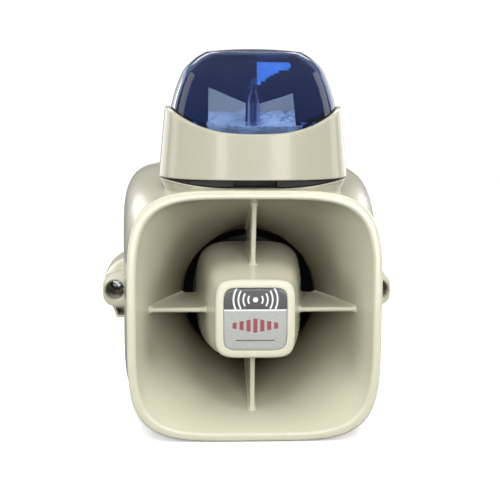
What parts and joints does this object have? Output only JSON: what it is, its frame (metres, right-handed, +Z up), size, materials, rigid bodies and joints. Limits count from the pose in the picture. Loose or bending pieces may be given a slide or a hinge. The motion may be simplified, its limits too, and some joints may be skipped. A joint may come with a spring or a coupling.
{
  "type": "alarm siren",
  "caption": "Wall siren: a square re-entrant horn in a box housing with screw ears, and a blue xenon strobe in a raised collar on top.",
  "frame": {"origin": "point of the wall face on the horn's axis", "axes": "+Z up, +Y into the wall, so the horn looks along -Y; +X to the right as seen from the front"},
  "size_m": [0.158, 0.124, 0.1936],
  "materials": {
    "ivory_plastic": "glossy",
    "blue_lens": "clear blue, glossy",
    "clear_glass": "clear",
    "black_rubber": "matt",
    "black_plastic": "satin",
    "pale_nylon": "satin",
    "polished_reflector": "polished",
    "zinc_steel": "zinc plated",
    "ferrite": "matt, ceramic",
    "copper_wire": "enamelled",
    "label_foil": "printed foil, satin",
    "board_green": "satin",
    "can_sleeve": "shrink sleeve",
    "amber_film": "resin film"
  },
  "bodies": {
    "siren": {"horn_bell": "ivory_plastic", "horn_cup": "ivory_plastic", "ear_left": "ivory_plastic", "ear_right": "ivory_plastic", "housing": "ivory_plastic", "wall_plate": "ivory_plastic", "strobe_collar": "ivory_plastic", "strobe_lens": "blue_lens", "tube_cover": "clear_glass", "xenon_tube": "clear_glass", "strobe_seat": "black_rubber", "driver_gasket": "black_rubber", "diaphragm_surround": "black_rubber", "housing_gasket": "black_rubber", "cable_grommet": "black_rubber", "lens_gasket": "black_rubber", "driver_lead": "black_rubber", "strobe_lead": "black_rubber", "horn_bowl": "black_plastic", "tone_tube": "black_plastic", "driver_frame": "black_plastic", "tamper_switch": "black_plastic", "tube_socket": "black_plastic", "power_transistor": "black_plastic", "phase_plug": "pale_nylon", "strobe_reflector": "polished_reflector", "horn_screw_1": "zinc_steel", "horn_screw_2": "zinc_steel", "horn_screw_3": "zinc_steel", "horn_screw_4": "zinc_steel", "driver_screw_1": "zinc_steel", "driver_screw_2": "zinc_steel", "driver_screw_3": "zinc_steel", "bowl_screw_1": "zinc_steel", "bowl_screw_2": "zinc_steel", "bowl_screw_3": "zinc_steel", "board_screw_1": "zinc_steel", "board_screw_2": "zinc_steel", "ear_screw_left": "zinc_steel", "ear_screw_right": "zinc_steel", "collar_screw_left": "zinc_steel", "collar_screw_right": "zinc_steel", "top_plate": "zinc_steel", "pole_yoke": "zinc_steel", "tamper_spring": "zinc_steel", "trigger_wire": "zinc_steel", "heat_sink": "zinc_steel", "magnet_ring": "ferrite", "driver_transformer": "ferrite", "label_plate": "label_foil", "circuit_board": "board_green", "strobe_board": "board_green", "terminal_block": "board_green", "power_capacitor_1": "can_sleeve", "power_capacitor_2": "can_sleeve", "flash_capacitor": "can_sleeve", "trigger_transformer": "amber_film"},
    "diaphragm": {"diaphragm": "amber_film", "voice_coil": "copper_wire"},
    "tamper_plunger": {"tamper_plunger": "pale_nylon"}
  },
  "joints": [
    {"name": "diaphragm_throw", "type": "slide", "parent": "siren", "child": "diaphragm", "axis": [0, -1, 0], "range_m": [-0.0004, 0.0004], "stiffness_N_per_m": 1000},
    {"name": "tamper_press", "type": "slide", "parent": "siren", "child": "tamper_plunger", "axis": [0, -1, 0], "range_m": [0, 0.003], "stiffness_N_per_m": 150}
  ]
}
